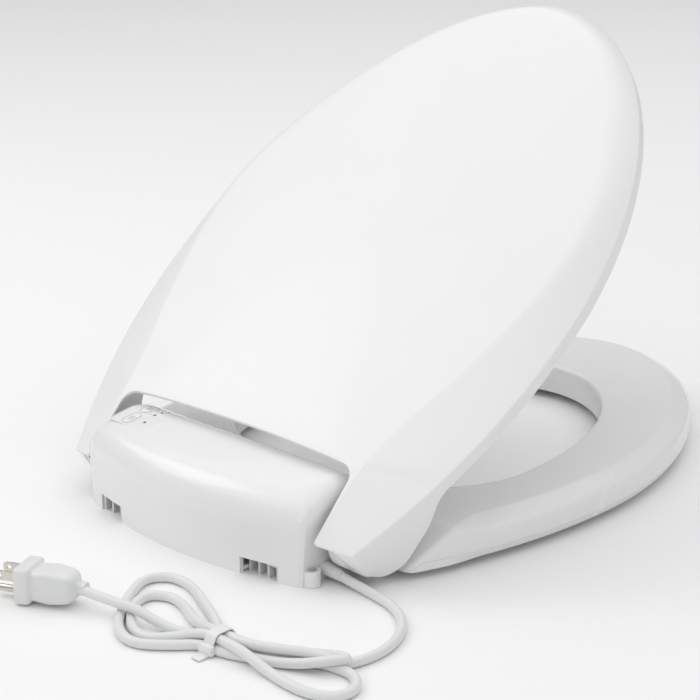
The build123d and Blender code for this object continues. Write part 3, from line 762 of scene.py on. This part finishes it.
# ---------------------------------------------------------------- seat ring
SEAT_HALF, SEAT_WIDE_Y, SEAT_TIP_Y = 182.7, -201.3, -470.6
SEAT_REAR_Y, SEAT_REAR_HALF = -24.0, 149.0
RECESS_HALF, RECESS_Y = 113.2, -46.5
OPENING_HALF, OPENING_WIDE_Y, OPENING_FRONT_Y, OPENING_REAR_Y = 127.6, -168.0, -372.0, -68.0
SEAT_LOW, SEAT_SPLIT, SEAT_EDGE, SEAT_TOP = 6.0, 12.0, 24.0, 31.0
EDGE_SLOPE = 14.0
RING_KEYS = [   # matching points on the outline and on the opening
    ((150, -370), (97, -300)), ((SEAT_HALF, SEAT_WIDE_Y), (127, -186)), ((168, -80), (118, -125)),
    ((149, -24), (101, -103)), ((RECESS_HALF, RECESS_Y), (80, -87)),
]


def seat_outline():
    """Half outline from the tip round the +X side to the recess on the mid-plane."""
    line = []
    for a in np.linspace(math.pi / 2, 0, 220, endpoint=False):
        x = SEAT_HALF * max(math.cos(a), 0.0) ** TIP_ACROSS
        line.append((x, SEAT_WIDE_Y + (SEAT_TIP_Y - SEAT_WIDE_Y) * math.sin(a) ** TIP_ALONG))
    line[0] = (0.0, SEAT_TIP_Y)
    for s in np.linspace(0, 0.93, 120):
        x = SEAT_HALF - (SEAT_HALF - SEAT_REAR_HALF) * s ** REAR_TAPER
        line.append((x, SEAT_WIDE_Y + (SEAT_REAR_Y - SEAT_WIDE_Y) * s))
    rear = rounded([(*line[-1], 0), (SEAT_REAR_HALF, SEAT_REAR_Y, 0), (RECESS_HALF, SEAT_REAR_Y, 0),
                    (RECESS_HALF, RECESS_Y, 0), (0, RECESS_Y, 0)], [0, 12, 3, 4, 0], 8)
    return np.array(line + [(p[0], p[1]) for p in rear[1:]])


def opening_line():
    """Half of the opening's edge from its front to its rear on the mid-plane."""
    line = []
    for a in np.linspace(-math.pi / 2, math.pi / 2, 300):
        reach = (OPENING_REAR_Y if a > 0 else OPENING_FRONT_Y) - OPENING_WIDE_Y
        line.append((OPENING_HALF * math.cos(a), OPENING_WIDE_Y + abs(math.sin(a)) * reach))
    line[0], line[-1] = (0.0, OPENING_FRONT_Y), (0.0, OPENING_REAR_Y)
    return np.array(line)


def smooth_min(a, b, span):
    """The smaller of two values, blended where they are close."""
    t = min(1.0, max(0.0, 0.5 + (b - a) / (2 * span)))
    return b * (1 - t) + a * t - span * t * (1 - t)


def seat_top(x, y, t):
    """Height of the ring's top: dished a little towards the opening, ramped down behind the cheeks."""
    z = SEAT_TOP - 1.8 * (1 - t) ** 2
    beside = smoothstep((abs(x) - 106) / 8)
    ramp = 8.4 + (-23 - y) * 0.7
    return z * (1 - beside) + smooth_min(z, ramp, 3.5) * beside


def nearest_length(line, table, point):
    """Length along a polyline at its point nearest to this one."""
    return table[int(np.argmin(np.linalg.norm(line - np.array(point), axis=1)))]


def ring_section(p, q, normal, side):
    """Section loop from the opening at q over the top to the edge at p; side is 0 behind the cheeks."""
    edge = p - normal * (EDGE_SLOPE * side + 2.5 * (1 - side))
    shares = np.linspace(0, 1, TOP_STEPS)
    top = [q + (edge - q) * t for t in shares]
    points = [(*c, seat_top(*c, t)) for c, t in zip(top, shares)]
    shoulder = SEAT_EDGE * side + (SEAT_TOP - 2.5) * (1 - side)
    shoulder = min(shoulder, seat_top(*p, 1) - 1.5 * (1 - side))
    shoulder = max(shoulder, SEAT_LOW + 2.2)
    split = min(SEAT_SPLIT, shoulder - 1.2)
    foot = p - normal * 3.0 * side
    groove = p - normal * 0.4
    low_q = q + (p - q) / np.linalg.norm(p - q) * 0.8
    points += [(*p, shoulder), (*p, split + 0.25), (*groove, split), (*p, split - 0.25)]
    points += [(*foot, SEAT_LOW), (*low_q, SEAT_LOW), (*q, SEAT_LOW + 3)]
    edge_radii = [9.0 * side + 1.5, 4.5 * side + 1.0, 0, 0, 0, 1.2, 1.5, 0]
    return rounded(points, [5.5] + [0.0] * (TOP_STEPS - 2) + edge_radii, 5)


def make_ring():
    """Closed skin through the section loops and their mirror image, grooved where its two shells meet."""
    outer, opening = seat_outline(), opening_line()
    outer_s, open_s = arc_table(outer), arc_table(opening)
    keys = [(0, 0)]
    for outside, inside in RING_KEYS:
        keys.append((nearest_length(outer, outer_s, outside), nearest_length(opening, open_s, inside)))
    keys = np.array(keys + [(outer_s[-1], open_s[-1])])
    rear_s = nearest_length(outer, outer_s, (165, -62))
    front_stations = np.linspace(0, rear_s, 130)
    rear_stations = np.linspace(rear_s, outer_s[-1], 110)
    loops = []
    for s in np.unique(np.concatenate([front_stations, rear_stations])):
        p = at_length(outer, outer_s, s)
        q = at_length(opening, open_s, np.interp(s, keys[:, 0], keys[:, 1]))
        tangent = plan_tangent(outer, outer_s, s, 0.8)
        normal = np.array([-tangent[1], tangent[0]])
        if normal @ (p - q) < 0:
            normal = -normal
        loops.append(ring_section(p, q, normal, 1 - smoothstep((s - rear_s + 20) / 34)))
    other = [[(-x, y, z) for x, y, z in loop] for loop in reversed(loops[1:-1])]
    mesh = mesh_from("seat_ring_visual", *loop_solid(loops + other, closed=True), 50)
    return add_object("seat_ring", mesh, "seat_white", "seat", "seat_top_shell", "seat_bottom_shell")


def plate(outline, x0, x1, edge):
    """Solid between x0 and x1 with a (y, z) outline and rounded edges."""
    outline = [(p[1], p[2]) for p in outline]
    middle = np.mean(np.array(outline), axis=0)
    size = np.linalg.norm(np.array(outline) - middle, axis=1).mean()
    sign = 1 if x1 > x0 else -1
    turns = [math.pi / 2 * k / 4 for k in range(5)]
    layers = [(x0 + sign * edge * (1 - math.cos(a)), a) for a in turns]
    layers += [(x1 - sign * edge * (1 - math.cos(a)), a) for a in reversed(turns)]
    loops = []
    for x, a in layers:
        scale = 1 - edge * (1 - math.sin(a)) / size
        loops.append([(x, *(middle + (np.array(p) - middle) * scale)) for p in outline])
    return loop_solid(loops)


LUG_R = 20
LUG_X = (112.9, 124.7)


def make_seat_lugs():
    """Neck and round lug on each side of the ring, beside the lid's cheek."""
    corners = [(0, -78, 12), (0, -40, 9.5), (0, HINGE_Y - 6, 9.0)]
    radii = [2, 8, 0]
    for degrees in range(-95, 96, 10):
        a = math.radians(degrees)
        corners.append((0, HINGE_Y + LUG_R * math.cos(a), HINGE_Z + LUG_R * math.sin(a)))
        radii.append(0)
    corners += [(0, -34, 38.5), (0, -58, 32), (0, -78, 30)]
    radii += [10, 10, 2]
    outline = rounded(corners, radii, 6)
    for side, name in ((-1, "left"), (1, "right")):
        vertices, faces = plate(outline, side * LUG_X[0], side * LUG_X[1], 1.4)
        mesh = mesh_from("seat_lug_" + name, vertices, faces, 50)
        add_object("seat_lug_cover_" + name, mesh, "seat_white", "seat")


make_ring()
make_seat_lugs()

# ---------------------------------------------------------------- housing cover and control panel
HOUSING_LOW_HALF, HOUSING_FLARE = 104.5, 0.075
HOUSING_REAR_Y, HOUSING_BOW, HOUSING_FRONT_Y = 45.6, 16.4, -43.5
HOUSING_CROWN_Z, HOUSING_FRONT_R = 65.5, 37.5
HOUSING_REAR_TOP = [(22.0, 60.5), (60.0, 51.0)]
COVER_GAP = 0.15                 # the cover lies this far under the control panel's film
COVER_WALL = 3.0
COVER_EDGE = 19.5                # width of the band in which the top's edge is rounded
COVER_CORNER = 1.6
WINDOW = (-40.2, 40.2, -47, -38, 15.9, 24.1)
NOTCH_X = (59.7, 88.7)
NOTCH_TOP = 12
BUTTON_X, HEAT_Y, LIGHT_Y = 84, -9, 8
BUTTON_PLACES = [(BUTTON_X, HEAT_Y), (BUTTON_X, LIGHT_Y)]
PANEL_X, PANEL_Y = 80, -3


def housing_top_z(y):
    """Height of the housing's top: the front roll, then an arc down to the rear."""
    if y < HINGE_Y:
        return HINGE_Z + math.sqrt(max(HOUSING_FRONT_R ** 2 - (y - HINGE_Y) ** 2, 0))
    (x1, z1), (x2, z2), (x3, z3) = [(HINGE_Y, HOUSING_CROWN_Z)] + HOUSING_REAR_TOP
    a = np.array([[x2 - x1, z2 - z1], [x3 - x1, z3 - z1]]) * 2
    b = np.array([x2 ** 2 - x1 ** 2 + z2 ** 2 - z1 ** 2, x3 ** 2 - x1 ** 2 + z3 ** 2 - z1 ** 2])
    cy, cz = np.linalg.solve(a, b)
    return cz + math.copysign(math.sqrt((x1 - cy) ** 2 + (z1 - cz) ** 2 - (y - cy) ** 2), z1 - cz)


def oval_line(x, y, width, depth, count=40):
    """Round-ended outline, long side along Y."""
    r = width / 2
    straight = depth / 2 - r
    line = []
    for k in range(count):
        a = 2 * math.pi * k / count
        line.append((x + r * math.cos(a), y + r * math.sin(a) + math.copysign(straight, math.sin(a))))
    return line


def edge_round(y):
    """Radius of the cover's top edge: wide along the rear, less at the ends, none under the front roll."""
    return 1.5 + 12.5 * smoothstep((y - HOUSING_FRONT_Y) / 16) + 5.5 * smoothstep((y - 12) / 14)


def cover_height(y, inset, radius):
    """Height of the cover at this distance inside its outline."""
    short = max(radius - inset, 0.0)
    return housing_top_z(y) - COVER_GAP - radius + math.sqrt(radius ** 2 - short ** 2)


def flared(x, y, z):
    """The ends lean outward with height."""
    return (x * (1 + HOUSING_FLARE * z / HOUSING_LOW_HALF), y, z)


def cover_outline(inset):
    """Outline of the cover at its foot, moved inward by inset; the points keep their order."""
    half, rear, front_y = HOUSING_LOW_HALF - inset, HOUSING_REAR_Y - inset, HOUSING_FRONT_Y + inset
    end_y = rear - HOUSING_BOW
    bow_end = half - COVER_CORNER
    bow = [(x, rear - HOUSING_BOW * (x / half) ** 2) for x in np.linspace(bow_end, -bow_end, 61)]
    ends = [(half, y) for y in np.linspace(front_y, end_y - COVER_CORNER, 25)[1:]]
    front = [(x, front_y) for x in np.linspace(-half, half, 31)]
    other = [(-x, y) for x, y in reversed(ends)]
    return front + ends + bow + other


def button_cutters():
    """Solids of the holes that the buttons run in."""
    return [prism(oval_line(x, y, 9.4, 15.4), 40, 80) for x, y in BUTTON_PLACES]


def cover_solid(wall, foot):
    """The cover's outer solid moved inward by wall, standing on foot."""
    line = cover_outline(wall)
    radii = [max(edge_round(y) - wall, 1.0) for _, y in line]
    rings = []
    for t in (0, 0.12, 0.4, 0.8):
        heights = [foot + t * (cover_height(p[1], 0, r) - wall - foot) for p, r in zip(line, radii)]
        rings.append([flared(*p, z) for p, z in zip(line, heights)])
    for a in np.linspace(0, math.pi / 2, 12):
        inset = (1 - math.cos(a)) * COVER_EDGE
        plan = cover_outline(wall + inset)
        rings.append([flared(x, y, cover_height(y, inset, r) - wall) for (x, y), r in zip(plan, radii)])
    last = cover_outline(wall + COVER_EDGE)
    for t in (0.15, 0.3, 0.45, 0.6, 0.75, 0.9, 0.98):
        plan = [(x * (1 - 0.2 * t), y + (2.0 - y) * t) for x, y in last]
        rings.append([flared(x, y, housing_top_z(y) - COVER_GAP - wall) for x, y in plan])
    return loop_solid(rings)


def make_housing():
    """Hollow cover with a window in front, two holes for the buttons and two notches over the brackets."""
    cutters = button_cutters() + [box(*WINDOW)]
    for side in (-1, 1):
        x0, x1 = sorted(side * x for x in NOTCH_X)
        cutters.append(box(x0, x1, 15, 60, -2, NOTCH_TOP))
    hollow = carved(mesh_from("cover_skin", *cover_solid(0.0, 0.0)), [cover_solid(COVER_WALL, -3.0)])
    return add_object("housing_cover", carved(hollow, cutters), "housing_white", "root", "top_cover")


def panel_height(x, y):
    """Height of the cover's top at a place in plan."""
    z = housing_top_z(y)
    for _ in range(4):
        low_x = abs(x) / (1 + HOUSING_FLARE * z / HOUSING_LOW_HALF)
        z = cover_height(y, HOUSING_LOW_HALF - low_x, edge_round(y))
    return z


def make_panel():
    """Thin film over the controls, following the cover."""
    corners = rounded([(58, -23, 0), (101, -23, 0), (101, 17, 0), (58, 17, 0)], [8] * 4, 6)
    edge = np.array(corners + corners[:1])
    table = arc_table(edge)
    outline = [at_length(edge, table, s) for s in np.linspace(0, table[-1], 96, endpoint=False)]
    rings = []
    shares = (0.02, 0.2, 0.4, 0.55, 0.7, 0.85, 0.97)
    levels = [(t, -0.5) for t in shares] + [(1, -0.4), (1, 0.06)] + [(t, 0.1) for t in reversed(shares)]
    for t, lift in levels:
        ring = []
        for p in outline:
            x, y = PANEL_X + (p[0] - PANEL_X) * t, PANEL_Y + (p[1] - PANEL_Y) * t
            ring.append((x, y, panel_height(x, y) + lift))
        rings.append(ring)
    mesh = carved(mesh_from("panel_skin", *loop_solid(rings)), button_cutters())
    return add_object("control_panel", mesh, "panel_film", "root", "panel_overlay")


make_housing()
make_panel()


# ---------------------------------------------------------------- marks printed on the control panel
def wave(x, y, height, sway):
    """Wavy line of one period along Y."""
    return [(x + sway * math.sin(2 * math.pi * t), y + height * (t - 0.5)) for t in np.linspace(0, 1, 13)]


def printed(name, lines, radius):
    """Thin raised print that follows the panel's surface; each line is (points, closed)."""
    curve = bpy.data.curves.new(name, "CURVE")
    curve.dimensions = "3D"
    curve.bevel_depth = radius / 1000
    curve.bevel_resolution = 1
    for points, closed in lines:
        spline = curve.splines.new("POLY")
        spline.points.add(len(points) - 1)
        for point, (x, y) in zip(spline.points, points):
            point.co = (*mm(x, y, housing_top_z(y) + 0.02), 1)
        spline.use_cyclic_u = closed
    return add_object(name, curve, "ink", "root")


def make_panel_marks():
    """An outline round each button, three waves, a small sun, and a dash beside each of three windows."""
    lines = [(oval_line(x, y, 9.1, 15.1), True) for x, y in BUTTON_PLACES]
    for dx in (-1.6, 0, 1.6):
        lines.append((wave(BUTTON_X + dx, HEAT_Y, 5.2, 0.5), False))
    lines.append((circle(BUTTON_X, LIGHT_Y, 1.3, 16), True))
    for k in range(8):
        a = math.pi * k / 4
        ray = [(BUTTON_X + r * math.cos(a), LIGHT_Y + r * math.sin(a)) for r in (2.1, 2.9)]
        lines.append((ray, False))
    for y, size in ((-15, 0.8), (-9, 1.1), (-3, 1.4)):
        lines.append(([(76 - size, y), (76 + size, y)], False))
    printed("panel_marks", lines, 0.17)


make_panel_marks()
